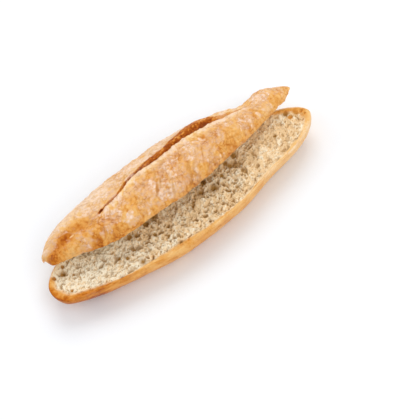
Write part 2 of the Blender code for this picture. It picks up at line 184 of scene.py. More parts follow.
# ---- Fine crumb: plates torn along a slant: size, stretch, height ----
BOTTOM_FINE_SEED, TOP_FINE_SEED = 201, 301
TEAR_SLANT = math.radians(57)
PLATES = ((3.4 * MM, 1.8, 1.0 * MM), (2.0 * MM, 1.3, 0.55 * MM))
PLATE_WARP = (0.5, 1.1)    # how far and how large the warping lumps are, in sizes
PLATE_GAP = 0.16
# pores: size, depth, share of the cells that are open
PORES = in_metres(((5.0, 1.7, 0.16), (2.9, 1.2, 0.34), (1.7, 0.7, 0.45)), 1)
PORE_WARP = (0.5, 0.8)
PORE_RADIUS = (0.26, 0.34)     # least, and how much more at most, in sizes
# how coarse and pale it gets along the bread: from, over (to the left if below 0), how much
COARSENESS = 1.25
COARSE_STEPS = ((30, 50, -0.5), (-30, -50, -0.4))
# paler left, less pale right: partly real tone, partly painted light for the lamps lighting the
# right more
PALE_STEPS = ((-30, -60, 0.6), (40, 40, -0.08))
# small holes that stand out: along, across, radius, depth
SMALL_HOLES = in_metres((
    (127.5, 5, 1.5, 1.6), (128.4, 0.8, 1.1, 1.2), (117, 6.2, 1.8, 1.8), (95.8, 0, 1.5, 1.4),
    (48.2, 6, 1.7, 1.8), (38.9, -1.9, 1.6, 1.5), (23.5, 3.3, 2.2, 1.8), (-36, 3, 2.2, 2.0),
    (-36, -10.8, 1.5, 1.4), (-28, -20, 1.3, 1.2), (-53.5, 1.8, 2.0, 1.8), (-71.6, -9.7, 1.6, 1.5),
    (-66, -14.5, 1.5, 1.3), (-111.4, 16.6, 1.4, 1.6), (-108.5, 3.5, 1.5, 0.9),
    (-123.1, 11, 1.5, 1.5), (-117.6, -8.9, 1.6, 0.9),
))
HOLE_OPEN_AT = 1.4 * MM
RIND_WIDTH = 2.0 * MM
# the bottom half's rind along its front and its back: along, how wide
FRONT_RIND = in_metres((
    (-133, 8.5), (-126, 9.0), (-112, 7.2), (-91, 6.2), (-75, 2.6), (-56, 4.6), (-42, 6.8),
    (-27, 8.1), (-13, 6.9), (3, 4.9), (20, 2.8), (88, 2.2), (104, 4.6), (120, 6.8), (133, 6.8),
))
BACK_RIND = in_metres((
    (-133, 8.0), (-126, 6.5), (-116, 2.0), (88, 2.0), (104, 4.4), (120, 6.8), (133, 6.8),
))

# ---- Crust ----
SKIN_WARP = (1.2 * MM, 4 * MM)         # how far and how large the lumps that warp its cells are
BLISTER_SIZE = 4.2 * MM
PIMPLE_SIZE = 2.0 * MM
CREASE_WIDTH = 0.13
# the pale ridge along the lip is partly paler crust, partly a painted highlight on the lip's edge
RIDGE_REACH = 4.4 * MM                 # of the pale ridge along the slash's lip
FLAP_RIDGE = 0.38                      # how far the flap behind it is as pale
CALM_LEFT = (-70, 22)                  # mm: blisters and strokes fade out over this on the left
FOLD_LINE, FOLD_SLOPE = -17 * MM, 0.7  # chevrons and strokes point to the left along this line
# the side's steps paint the left darker and the right paler: partly real tone, partly painted light
# from the right
MID_BAKE = 0.45                        # and along the side: from, over, how much more
SIDE_BAKE_STEPS = ((5, 110, -0.20), (-40, -50, 0.14), (-80, -25, 0.16))
# tones, listed one by one: along, across, reach along, reach across, more baked, more floured
TOP_TONES = in_metres((
    (-106, -5, 8, 5, 0.24, -0.9), (-87, -7.5, 9, 4.5, 0.16, -0.7), (-104, -9, 16, 11, 0.16, -0.35),
    (-123, -9.5, 6, 6, 0.20, -1.0), (-124, -6, 5, 4, 0.20, -0.6), (-106, -16, 8, 4.5, -0.24, -0.5),
    (-121, 3, 9, 6, -0.2, 1.2), (-92, 9, 24, 9, -0.24, 0.2), (-76, -20, 13, 9, 0.10, -0.45),
    (-96, 24, 34, 10, -0.25, 1.8), (-69, -13.5, 1.8, 1.6, 0.7, -1.5), (-84, -29, 3, 2, 0.12, -0.4),
    (-67, -29, 5, 3, 0.12, -0.5), (-88, -27, 8, 4, 0.16, -0.6), (-70, -34, 12, 4, 0.12, -0.7),
    (-68, -26, 9, 5, 0.0, 0.5), (-20, -22, 30, 9, -0.04, 0.4), (15, -20, 18, 9, 0.0, 0.35),
    (57, -14, 7, 6, 0.08, -0.5), (53, -25, 6, 5, 0.08, -0.5), (42, -28, 7, 4, 0.04, -0.3),
    (33, -20, 7, 6, 0.05, -0.1), (95, -14, 14, 7, 0.0, -0.4), (108, 4, 14, 6, -0.06, 0.2),
    (78, -3, 10, 5, -0.10, 0.35), (-20, 8, 60, 8, -0.06, 0.8), (36, 15, 22, 7, -0.2, 1.5),
), 2)

# ---- Light and view ----
VIEW_ELEVATION = math.radians(53.07)
VIEW_AZIMUTH = math.radians(-16.49)
VIEW_ROLL = math.radians(-22.09)
VIEW_DISTANCE = 1.3
FRAME_PIXELS = 420
FOCAL_PIXELS = 1574.6
SENSOR = 36.0
VIEW_AIM = (22.8 * MM, -8.0 * MM)      # from the middle of the bottom half, to the right and up
# name, place, size, power, colour
LIGHTS = (("back_window", (1.2, 1.4, 2.2), 2.2, 31, (1.0, 0.98, 0.97)),
          ("side_window", (-1.5, 1.7, 1.3), 1.6, 13, (1.0, 0.97, 0.98)),
          ("front_window", (0.5, -2.4, 2.2), 3.0, 42, (1.0, 0.99, 0.98)))
SKY = (0.96, 0.97, 1.0)
SKY_STRENGTH = 0.62
FLOOR_HALF_SIDE = 4.0


# ======== Numbers ========

def ease(t):
    """Cubic step, 0 below 0 and 1 above 1."""
    t = np.clip(t, 0, 1)
    return t * t * (3 - 2 * t)


def hump(distance, reach):
    """Bell curve: 1 at no distance, a third at the reach."""
    return np.exp(-(distance / reach) ** 2)


def rising(x, start, over):
    """Cubic step from 0 at the start to 1, over so much of x. These two are in millimetres."""
    return ease((x - start * MM) / (over * MM))


def falling(x, end, over):
    """Cubic step down to 0 at the end, over so much of x. These two are in millimetres."""
    return ease((end * MM - x) / (over * MM))


def around(x, place, reach):
    """Bell curve round a place. Place and reach are in millimetres."""
    return hump(x - place * MM, reach * MM)


def stairs(x, rows):
    """Sum of cubic steps along x: from where, over how much (to the left if below 0), how high."""
    return sum(high * rising(x, start, over) for start, over, high in rows)


def through(knots, x):
    """Smooth curve through (x, value) knots: cubics whose slopes follow the neighbouring knots."""
    place, value = np.array(knots).T
    slope = np.gradient(value, place)
    i = np.clip(np.searchsorted(place, x) - 1, 0, len(place) - 2)
    step = place[i + 1] - place[i]
    t = (x - place[i]) / step
    start = (1 + 2 * t) * (1 - t) ** 2 * value[i] + t * (1 - t) ** 2 * step * slope[i]
    end = t * t * (3 - 2 * t) * value[i + 1] + t * t * (t - 1) * step * slope[i + 1]
    return start + end


def stepping(knots, x):
    """Curve through (x, value) knots that eases from each to the next, level at every knot."""
    place, value = np.array(knots).T
    i = np.clip(np.searchsorted(place, x) - 1, 0, len(place) - 2)
    t = ease((x - place[i]) / (place[i + 1] - place[i]))
    return value[i] + (value[i + 1] - value[i]) * t


def lattice_cell(x, y, size):
    """Whole and left-over part of the places x, y, counted in sizes."""
    gx, gy = x / size + LATTICE / 2, y / size + LATTICE / 2
    ix, iy = np.floor(gx).astype(int), np.floor(gy).astype(int)
    return ix, iy, gx - ix, gy - iy


def lumps(x, y, size, seed):
    """Smooth seeded noise from -1 to 1: lattice values a size apart, eased into each other."""
    lattice = np.random.default_rng(seed).uniform(-1, 1, (LATTICE, LATTICE))
    ix, iy, tx, ty = lattice_cell(x, y, size)
    tx, ty = ease(tx), ease(ty)
    jx, jy = (ix + 1) % LATTICE, (iy + 1) % LATTICE
    ix, iy = ix % LATTICE, iy % LATTICE
    near = lattice[ix, iy] * (1 - ty) + lattice[ix, jy] * ty
    far = lattice[jx, iy] * (1 - ty) + lattice[jx, jy] * ty
    return near * (1 - tx) + far * tx


def cloudy(x, y, size, seed, layers=3):
    """Layered noise from about -1 to 1: lumps of the size, half of it and so on, each half as
    high."""
    total, weight = 0.0, 0.0
    for i in range(layers):
        total = total + lumps(x, y, size / 2 ** i, seed + i) / 2 ** i
        weight += 1 / 2 ** i
    return total / weight


def shifts(x, y, reach, size, seed):
    """Two noises of the size and as far as the reach, for warping cells."""
    return (reach * lumps(x, y, size, seed + i) for i in (1, 2))


def cells(x, y, size, seed):
    """Cellular noise: distance to the nearest and second nearest of seeded points, one strewn in
    each square of the size, in sizes, and the nearest point's own number from 0 to 1."""
    px, py, own = np.random.default_rng(seed).uniform(0, 1, (3, LATTICE, LATTICE))
    ix, iy, tx, ty = lattice_cell(x, y, size)
    first = np.full_like(tx, 9.0)
    second = first.copy()
    number = np.zeros_like(tx)
    for dx in (-1, 0, 1):
        for dy in (-1, 0, 1):
            jx, jy = (ix + dx) % LATTICE, (iy + dy) % LATTICE
            distance = np.hypot(dx + px[jx, jy] - tx, dy + py[jx, jy] - ty)
            closer = distance < first
            second = np.where(closer, first, np.minimum(second, distance))
            number = np.where(closer, own[jx, jy], number)
            first = np.minimum(first, distance)
    return first, second, number


# ======== Outlines and heights that the solids have too ========

def swollen(x, full, share, amounts):
    """A full length's share at x, with the smooth swellings there."""
    swelling = sum(amount * hump(x - place, SWELLING_REACH) for place, amount in amounts)
    return full * share + swelling * np.sqrt(share)


def stations(count):
    """Places of the sections between the tips, from -1 to 1, closer together at the ends."""
    s = np.linspace(-1, 1, count + 2)[1:-1]
    return TIP_CROWDING * np.sin(s * math.pi / 2) + (1 - TIP_CROWDING) * s


def fullness(u, ends):
    """Share of the full half-width at u: 1 in the middle, rounding to 0 at the two tips."""
    left, right, full = ends
    return np.clip(1 - np.abs(u) ** np.where(u < 0, left, right), 0, None) ** (1 / full)


def bottom_outline(x):
    """Front and back edge of the bottom half's cut face at x."""
    u = 2 * x / BOTTOM_LENGTH
    share = fullness(u, BOTTOM_FRONT_ENDS)
    front = swollen(x, BOTTOM_HALF_WIDTH, share, BOTTOM_FRONT_SWELLINGS)
    return -front, BOTTOM_HALF_WIDTH * fullness(u, BOTTOM_BACK_ENDS)


def top_outline(x):
    """Front and back edge of the top half's cut face at x; its tips bend back a little."""
    u = 2 * x / TOP_LENGTH
    share = fullness(u, TOP_ENDS)
    middle = TOP_BEND * (u * u - BEND_CENTRE)
    front = swollen(x, TOP_HALF_WIDTH, share, TOP_FRONT_SWELLINGS)
    return middle - front, middle + TOP_HALF_WIDTH * share


def torn_edge(x):
    """How far the top half's front edge is torn outwards at x: noise, tears and small jags."""
    tears = sum(height * lumps(x, 0 * x, size, seed) for height, size, seed in EDGE_TEARS)
    tears = tears + sum(amount * hump(x - place, reach) for place, amount, reach in TIP_TEARS)
    height, size, seed = TIP_JAGS
    jags = height * lumps(x, 0 * x, size, seed) * rising(np.abs(x), *JAGGED_FROM)
    return (tears + jags) * ease((TOP_LENGTH / 2 - np.abs(x)) / TIP_TEAR_FADE)


def bulged_bottom_outline(x):
    """Edges of the bottom half's cut face, the front one with its bulge and its swings."""
    front, back = bottom_outline(x)
    place, amount, reach = LEFT_TIP_BULGE
    share = fullness(2 * x / BOTTOM_LENGTH, BOTTOM_FRONT_ENDS)
    outwards = amount * hump(x - place, reach) + through(FRONT_SWINGS, x)
    return front - outwards * np.sqrt(share), back


def torn_top_outline(x):
    """Edges of the top half's cut face, the front one torn."""
    front, back = top_outline(x)
    return front - torn_edge(x), back


def inset(x, y, outline, length):
    """Distance in from the edge of a cut face, from both its sides and its tips."""
    front, back = outline(x)
    across = np.maximum(np.minimum(y - front, back - y), TINY)
    along = np.maximum(length / 2 - np.abs(x), TINY)
    return (across ** -2 + along ** -2) ** -0.5


def mound(x, y, form):
    """Torn crumb standing up along the middle of a cut face."""
    height, place, reach = form
    ends = ease(MOUND_ENDS * (1 - np.abs(x) / MOUND_HALF_LENGTH))
    return height * hump(y - place, reach) * ends


def crumb_lumps(x, y, seed):
    """Coarse crumb: larger and smaller lumps, each with a seed of its own."""
    return sum(height * lumps(x, y, size, seed + i) for i, (height, size) in enumerate(CRUMB_LUMPS))


def top_cut_height(x, y):
    """Coarse height of the top half's cut face: flat crust rim, crumb hanging down."""
    inside = ease((inset(x, y, top_outline, TOP_LENGTH) - CRUST) / TOP_RIM_FALL)
    return inside * (CRUMB_RECESS - mound(x, y, TOP_MOUND) - crumb_lumps(x, y, TOP_CRUMB_SEED))


def bottom_cut_height(x, y):
    """Coarse height of the bottom half's cut face: flat rim, sunk crumb, holes and the mound."""
    inside = ease((inset(x, y, bottom_outline, BOTTOM_LENGTH) - CRUST) / BOTTOM_RIM_FALL)
    relief = mound(x, y, BOTTOM_MOUND) + crumb_lumps(x, y, BOTTOM_CRUMB_SEED)
    return inside * (relief - CRUMB_RECESS - dips(x, y, CRUMB_HOLES))


def dips(x, y, rows):
    """Depth of round bell-shaped holes: along, across, radius, depth."""
    return sum(depth * hump(np.hypot(x - hx, y - hy), radius) for hx, hy, radius, depth in rows)


def plane_turn(angle, i, j):
    """Rotation by the angle from axis i to axis j."""
    turn = np.eye(3)
    turn[[i, j], [i, j]] = math.cos(angle)
    turn[j, i] = math.sin(angle)
    turn[i, j] = -turn[j, i]
    return turn


def top_turn():
    """Rotation of the top half: tilt about X with the front edge up, then yaw, then pitch."""
    return plane_turn(TOP_PITCH, 0, 2) @ plane_turn(TOP_YAW, 0, 1) @ plane_turn(TOP_TILT, 2, 1)


def top_pivot_and_place():
    """The far rim in the top half's own frame, and where it comes to lie."""
    slide_x, slide_y = TOP_SLIDE
    pivot = np.array([0, BOTTOM_HALF_WIDTH, 0])
    drop = slide_y * math.tan(TOP_TILT)
    return pivot, pivot + np.array([slide_x, slide_y, TOP_LIFT - drop])


def place_top(points):
    """Top half's own frame to the bottom half's."""
    pivot, place = top_pivot_and_place()
    return (points - pivot) @ top_turn().T + place


def unplace_top(points):
    """Bottom half's frame to the top half's own."""
    pivot, place = top_pivot_and_place()
    return (points - place) @ top_turn() + pivot


def pressed_by_top(points):
    """Bottom crumb pressed down where it would come too close to the top's cut face."""
    pressed = points.copy()
    for _ in range(PRESSING_PASSES):
        local = unplace_top(pressed)
        x = np.clip(local[..., 0], -TOP_LENGTH / 2, TOP_LENGTH / 2)
        over = local[..., 2] - (top_cut_height(x, local[..., 1]) - TOUCHING_GAP)
        covered = inset(x, local[..., 1], top_outline, TOP_LENGTH) > MM
        pressed[..., 2] -= np.where(covered, np.maximum(over, 0), 0)
    return pressed


def arc(angle, squareness):
    """Superellipse from the front (-1, 0) over (0, 1) to the back (1, 0)."""
    c, s = np.cos(angle), np.sin(angle)
    return -np.sign(c) * np.abs(c) ** (2 / squareness), np.abs(s) ** (2 / squareness)


def arc_angle(across, squareness):
    """Angle at which the superellipse is at that share across."""
    return np.arccos(-np.sign(across) * np.abs(across) ** (squareness / 2))


def slash_strength(x):
    """How far the slash is cut at x, from 0 to 1."""
    starts, full, closing, closed = SLASH_REACH
    return ease((x - starts) / (full - starts)) * ease((closed - x) / (closed - closing))


def crust_forms(x, y):
    """Soft hollows and lobes of the top crust, and its small lumps."""
    forms = sum(rise * hump(x - fx, rx) * hump(y - fy, ry) for fx, fy, rx, ry, rise in TOP_FORMS)
    return forms + sum(height * lumps(x, y, size, seed) for height, size, seed in TOP_LUMPS)


# ======== Crumb ========

def pores(x, y, size, seed, open_share):
    """Bowls from 0 to 1 deep round the open ones of the points of warped cellular noise."""
    dx, dy = shifts(x, y, PORE_WARP[0] * size, PORE_WARP[1] * size, seed)
    first, _, number = cells(x + dx, y + dy, size, seed)
    radius = PORE_RADIUS[0] + PORE_RADIUS[1] * number / open_share
    return np.where(number < open_share, np.sqrt(np.clip(1 - (first / radius) ** 2, 0, 1)), 0)


def plates(x, y, size, stretch, seed):
    """Torn plates: warped cells, stretched along the slant. Gives each plate's own number and how
    near the gap beside it is, both from 0 to 1."""
    c, s = math.cos(TEAR_SLANT), math.sin(TEAR_SLANT)
    dx, dy = shifts(x, y, PLATE_WARP[0] * size, PLATE_WARP[1] * size, seed)
    along, across = (c * x + s * y) / stretch + dx, c * y - s * x + dy
    first, second, number = cells(along, across, size, seed)
    return number, hump(second - first, PLATE_GAP)


def torn_crumb(x, y, seed):
    """Height of the torn plates less the gaps between them and the pores, and the masks of how open
    and how pale the crumb is, from 0 to 1. The open mask carries painted shade in the pores; the
    pale mask is random tone, with raised plates painted paler as painted highlight and the gaps
    darker as painted shade."""
    height, openness = 0.0, 0.0
    pale = 0.5 + 0.35 * cloudy(x, y, 9 * MM, seed + 60) + stairs(x, PALE_STEPS)
    for i, (size, stretch, tall) in enumerate(PLATES):
        number, gap = plates(x, y, size, stretch, seed + 20 + 3 * i)
        height = height + tall * (number - 0.5) - 0.5 * tall * gap
        # raised plates painted paler and the gaps darker: painted highlight and painted shade
        pale = pale + 0.5 * (number - 0.5) - 0.25 * gap
    for i, (size, depth, open_share) in enumerate(PORES):
        bowl = pores(x, y, size, seed + 3 * i, open_share)
        height = height - depth * bowl
        # openness carries the painted shade of the pores
        openness = np.maximum(openness, bowl * (1 - 0.22 * i))
    return height, openness, np.clip(pale, 0, 1)


def small_holes(x, y):
    """How far the small holes that stand out go down, and how open they are, from 0 to 1."""
    deep = dips(x, y, SMALL_HOLES)
    return deep, np.clip(deep / HOLE_OPEN_AT, 0, 1)


def cut_rind(x, y, reach, seed, bottom):
    """How far a place of the cut face is rind, from 0 to 1: its edge, made ragged by noise. The
    bottom half's is of changing width, and narrow at the back on the left."""
    width = RIND_WIDTH
    if bottom:
        at_front = falling(y, 4, 8)
        width = stepping(BACK_RIND, x) * (1 - at_front) + stepping(FRONT_RIND, x) * at_front
        width = width * (1 - 0.7 * rising(y, 9, 6) * (x < 0))
    ragged = reach - MM * cloudy(x, y, 3.4 * MM, seed + 50)
    ragged = ragged - 0.8 * MM * lumps(x, y, 9 * MM, seed + 53)
    return 1 - ease((ragged - 0.55 * width) / (0.5 * width))


def hidden_wall(x, front, back, share, rise_of, squareness):
    """Hidden side of a core or a shell from back to front: a half superellipse, scaled."""
    across, deep = arc(np.linspace(math.pi, 0, WALL_COLUMNS + 2)[1:-1], squareness)
    half, middle = (back - front)[:, None] / 2, (back + front)[:, None] / 2
    return np.stack([np.repeat(x[:, None], WALL_COLUMNS, 1), middle + share * half * across,
                     share * rise_of(x, deep)], -1)


def core_rows(outline, length, height, seed, rise_of, sign, bottom):
    """Closed sections of a crumb core and its masks: the cut face from front to back, its columns
    closer together in front, then the hidden side below it (above it where sign is 1). The bottom
    half has small holes too, which are baked like rind at both tips."""
    x = stations(CRUMB_SECTIONS) * length / 2
    front, back = outline(x)
    tuck = np.minimum(TUCK, LAP_SHARE * (back - front) / 2)
    t = np.linspace(0, 1, CUT_COLUMNS)
    t = (1 - FRONT_CROWDING) * t + FRONT_CROWDING * t ** 3
    y = (front + tuck)[:, None] + (back - front - 2 * tuck)[:, None] * t
    xx = np.repeat(x[:, None], len(t), 1)
    reach = inset(xx, y, outline, length)
    rind = cut_rind(xx, y, reach, seed, bottom)
    inside = ease((reach - 0.6 * CRUST) / (2 * MM)) * (1 - 0.6 * rind)
    fine, openness, pale = torn_crumb(xx, y, seed)
    coarse = COARSENESS + stairs(xx, COARSE_STEPS)
    fine, openness = fine * coarse, openness * coarse * inside
    z = height(xx, y) - sign * inside * fine
    if bottom:
        depth, bowl = small_holes(xx, y)
        bowl = ease(1.5 * bowl)
        z = z - depth * rising(reach, 0, 1.5)
        large = np.clip(dips(xx, y, CRUMB_HOLES) / (1.8 * MM), 0, 1)
        holed = 1.3 * np.maximum(bowl, large)
        # the holes take the painted pore shade too
        openness = np.clip(np.maximum(openness, holed), 0, 1.1)
        rind = rind * (1 - bowl) + bowl * (0.85 * rising(xx, 100, 10) + 0.5 * falling(xx, -105, 15))
    baked = 0.34 + 0.25 * cloudy(xx, y, 6 * MM, seed + 55) + 0.12 * rising(np.abs(xx), 60, 50)
    # open rind gets painted pore shade; the right end's front is paler, partly painted light from
    # the right
    baked = baked + 0.18 * np.clip(openness, 0, 1) - 0.25 * rising(xx, 50, 40) * falling(y, 0, 8)
    baked = baked + 0.26 * falling(xx, -70, 40) * around(reach, 0, 6) * falling(y, 8, 8)
    pale = pale * (1 - 0.5 * around(reach, 1.5, 2.5))
    wall = hidden_wall(x, front, back, CORE_SHARE, rise_of, SIDE_SQUARENESS)
    masks = {"open": openness, "pale": pale, "rind": rind, "bake": baked}
    return np.stack([xx, y, z], -1), wall, masks


# ======== Crust ========

def shell_rows(x, outside, outline, rise_of, sign, squareness):
    """Closed sections of a crust shell: the outside from front to back, the flat lap at the back,
    the hidden inner wall, and the flat lap at the front."""
    front, back = outline(x)
    lap = np.minimum(LAP, LAP_SHARE * (back - front) / 2)[:, None] * np.array(LAP_PLACES)
    x_laps = np.repeat(x[:, None], LAP_STEPS, 1)
    rise = np.broadcast_to(np.array(LAP_HEIGHTS) * -sign * LAP_RISE, x_laps.shape)
    at_back = np.stack([x_laps, back[:, None] - lap, rise], -1)
    at_front = np.stack([x_laps, front[:, None] + lap, rise], -1)
    wall = hidden_wall(x, front, back, SHELL_SHARE, rise_of, squareness)
    return np.concatenate([outside, at_back, wall, at_front[:, ::-1]], 1)


def outward(shell):
    """Unit normals of a grid of points: cross product of its two gradients."""
    normal = np.cross(np.gradient(shell, axis=0), np.gradient(shell, axis=1))
    return normal / np.maximum(np.linalg.norm(normal, axis=-1, keepdims=True), TINY * TINY)


def run_length(shell):
    """Distance round each section from its first point."""
    steps = np.linalg.norm(np.diff(shell, axis=1), axis=-1)
    return np.concatenate([np.zeros((len(shell), 1)), np.cumsum(steps, axis=1)], 1)


def round_depth(x, share):
    """Depth below the cut of the bottom half without its flat underside."""
    return ROUND_DEPTH * fullness(2 * x / BOTTOM_LENGTH, BOTTOM_DEPTH_ENDS)[:, None] * share


def bottom_rise(x, share):
    """Height of the bottom half's side, below the cut, at that share of its roundness."""
    return -np.minimum(round_depth(x, share), BOTTOM_DEPTH)


def top_rise(x, share):
    """Height of the smooth top half at x, at that share of its roundness."""
    full = fullness(2 * x / TOP_LENGTH, TOP_ENDS)
    return swollen(x, TOP_HEIGHT, full, TOP_HEIGHT_SWELLINGS)[:, None] * share


def baked_skin(x, s, seed):
    """Height of blisters, pimples, creases and grain, s being the way round the crust, and the
    masks of blisters and creases. Blisters are domes on warped cells, creases the lines between
    the cells where patches of noise let them show."""
    dx, ds = shifts(x, s, *SKIN_WARP, seed)
    wx, ws = x + dx, s + ds
    first, second, number = cells(wx, ws, BLISTER_SIZE, seed)
    shown = ease((cloudy(x, s, 10 * MM, seed + 3) + 0.25) / 0.4)
    crease = hump(second - first, CREASE_WIDTH) * shown
    dome = np.clip(1 - (first / 0.5) ** 2, 0, 1) * ease((number - 0.3) / 0.3)
    small, _, own = cells(wx, ws, PIMPLE_SIZE, seed + 6)
    pimple = np.clip(1 - (small / (0.15 + 0.35 * own)) ** 2, 0, 1)
    height = 0.42 * dome + 0.26 * pimple - 0.34 * crease + 0.34 * cloudy(x, s, 3 * MM, seed + 8)
    return height * MM, np.maximum(dome, 0.8 * pimple), crease


def side_tones(x, y, s, depth, side):
    """Masks of the bottom crust: baked most half way down and on the left, less on the right and
    along the rim, floured on the right, dusty at the back of the left tip. The paler lower edge is
    partly painted light from the floor; the darker left and the paler, floured right are partly
    painted light from the right."""
    # most baked half way down: the paler lower edge is partly painted light from the floor
    bake = MID_BAKE + 0.10 * around(depth, 13, 6) + stairs(x, SIDE_BAKE_STEPS)
    bake = bake + 0.17 * cloudy(0.35 * x, s, 3.4 * MM, 71) + 0.13 * cloudy(x, s, 9 * MM, 74)
    bake = bake - (0.06 + 0.08 * rising(x, -20, 80)) * (1 - rising(depth, 0, 1.6))
    bake = bake + 0.10 * falling(x, -75, 35) * (1 - rising(depth, 0, 2.5)) * (y < 8 * MM)
    flour = 0.25 * ease((cloudy(x, s, 12 * MM, 77) + 0.1) / 0.6) * side + 0.2 * (1 - side)
    # more flour and white on the right: partly real flour, partly painted light from the right
    flour = flour + 0.30 * rising(x, 10, 90) * side
    dusty = rising(y, 10, 6) * falling(x, -95, 20) * side
    return {"bake": bake - 0.4 * dusty, "flour": flour + dusty,
            "white": 0.15 * rising(x, 60, 50) * side + 0.8 * dusty, "creased": np.zeros_like(x)}


def bottom_crust():
    """Sections and masks of the bottom crust: superellipse sides on the outline down to the flat
    underside, with a rounded heel, faint lumps, grain and wrinkles."""
    x = stations(CRUST_SECTIONS) * BOTTOM_LENGTH / 2
    front, back = bulged_bottom_outline(x)
    across, down = arc(np.linspace(0, math.pi, SIDE_COLUMNS), SIDE_SQUARENESS)
    y = across * np.where(across < 0, -front[:, None], back[:, None])
    depth = round_depth(x, down)
    xx = np.repeat(x[:, None], len(across), 1)
    height, size, seed = BOTTOM_LUMPS
    y = y * (1 + height * lumps(xx, y, size, seed) * ease(depth / BOTTOM_FADE) / BOTTOM_HALF_WIDTH)
    near = np.clip(1 - np.abs(depth - BOTTOM_DEPTH) / HEEL_ROUNDING, 0, 1)
    rounded = np.minimum(depth, BOTTOM_DEPTH) - near ** 2 * HEEL_ROUNDING / 4
    shell = np.stack([xx, y, -np.maximum(rounded, 0)], -1)
    s = run_length(shell)
    side = ease((BOTTOM_DEPTH - depth) / (3 * MM))
    grain = 0.12 * MM * cloudy(xx, s, 5 * MM, 61) + 0.10 * MM * cloudy(0.4 * xx, s, 1.8 * MM, 64)
    wrinkle = 0.12 * MM * lumps(xx, s, 9 * MM, 67) * lumps(3 * xx, s, 6 * MM, 68)
    fade = rising(depth, 0, 1.5) * (0.25 + 0.75 * side)
    shell = shell + outward(shell) * ((grain + wrinkle) * fade)[..., None]
    shell[..., 2] = np.maximum(shell[..., 2], -BOTTOM_DEPTH)
    rows = shell_rows(x, shell, bulged_bottom_outline, bottom_rise, -1, SIDE_SQUARENESS)
    return rows, side_tones(xx, y, s, depth, side)


def slash_lines(x):
    """Section angles of the slash's front lip and back edge, which close in near the tips, to no
    less than the least opening."""
    front, back = top_outline(x)
    half, middle = (back - front) / 2, (back + front) / 2
    height, size, seed = RAGGED_LIP
    ragged = height * cloudy(x, 0 * x, size, seed) * slash_strength(x)
    lip = through(LIP_LINE, x)
    angles = []
    for line in (lip + ragged, lip + through(SLASH_WIDTH, x) - ragged):
        y = line - middle
        limit = (half ** LIMIT_POWER + (y / LIP_LIMIT) ** LIMIT_POWER) ** (1 / LIMIT_POWER)
        angles.append(arc_angle(y / limit, TOP_SQUARENESS)[:, None])
    return angles[0], np.maximum(angles[1], angles[0] + LEAST_OPENING)


def slash_forms(x, y, opening):
    """Rise of the slash's lip, groove or torn floor, and flap; how far a place is in the slash; and
    how far the slash is torn there, not just a groove."""
    strength = slash_strength(x)[:, None]
    torn = ease((through(SLASH_WIDTH, x) - TORN_FROM) / (TORN_TO - TORN_FROM))[:, None]
    rise, in_slash = np.zeros_like(y), np.zeros_like(y)
    from_lip, from_flap = y - y[:, LIP_COLUMN, None], y[:, FLAP_COLUMN, None] - y
    rise[:, :LIP_COLUMN] = LIP_RISE * np.exp(from_lip[:, :LIP_COLUMN] / LIP_REACH)
    rise[:, FLAP_COLUMN:] = FLAP_RISE * np.exp(from_flap[:, FLAP_COLUMN:] / FLAP_REACH)
    groove = stepping(GROOVE_PROFILE, opening)
    rise[:, INNER] = groove + torn * (stepping(FLOOR_PROFILE, opening) - groove)
    in_slash[:, INNER] = 1 - np.abs(2 * opening - 1) ** 8
    return rise * strength, in_slash * strength, torn


def top_marks(x, y, s, calm):
    """Noise drawn out to marks on the top crust: broad chevrons and finer strokes, which point to
    the left along the fold line, and thin lines behind it."""
    fold = x + FOLD_SLOPE * np.abs(y - FOLD_LINE)
    chevron = cloudy(2.0 * fold + 3 * MM * lumps(x, s, 7 * MM, 134), 0.6 * s, 5 * MM, 131, 2)
    chevron = chevron * (0.3 + 0.7 * around(x, 22, 42)) * ease(0.5 + cloudy(x, s, 9 * MM, 135))
    strokes = lumps(3.0 * fold + 2 * MM * lumps(x, s, 5 * MM, 138), 0.55 * s, 4 * MM, 137)
    strokes = strokes * (1 - calm) * ease(0.6 + cloudy(x, s, 11 * MM, 139))
    thin = hump(lumps(0.4 * x + 0.25 * s, s, 3.2 * MM, 151), 0.16)
    return chevron, strokes, thin * ease(cloudy(x, s, 11 * MM, 152) + 0.5) * rising(y, -30, 12)


def slash_tone(x, s, share):
    """How far the torn floor is baked: deep brown, with paler specks, partly painted highlights,
    and a darker line in front, partly painted shade under the lip.
    """
    specks = ease((cloudy(x, s, 1.6 * MM, 141, 2) - 0.22) / 0.3)
    tone = 0.88 - 0.06 * hump(share - 0.62, 0.22) + 0.14 * cloudy(0.7 * x, s, 2.4 * MM, 117)
    # paler specks: partly painted highlights; the last term darkens a line behind the lip, partly
    # painted shade
    return tone - 0.30 * specks * hump(share - 0.6, 0.35) + 0.10 * hump(share - 0.12, 0.2)


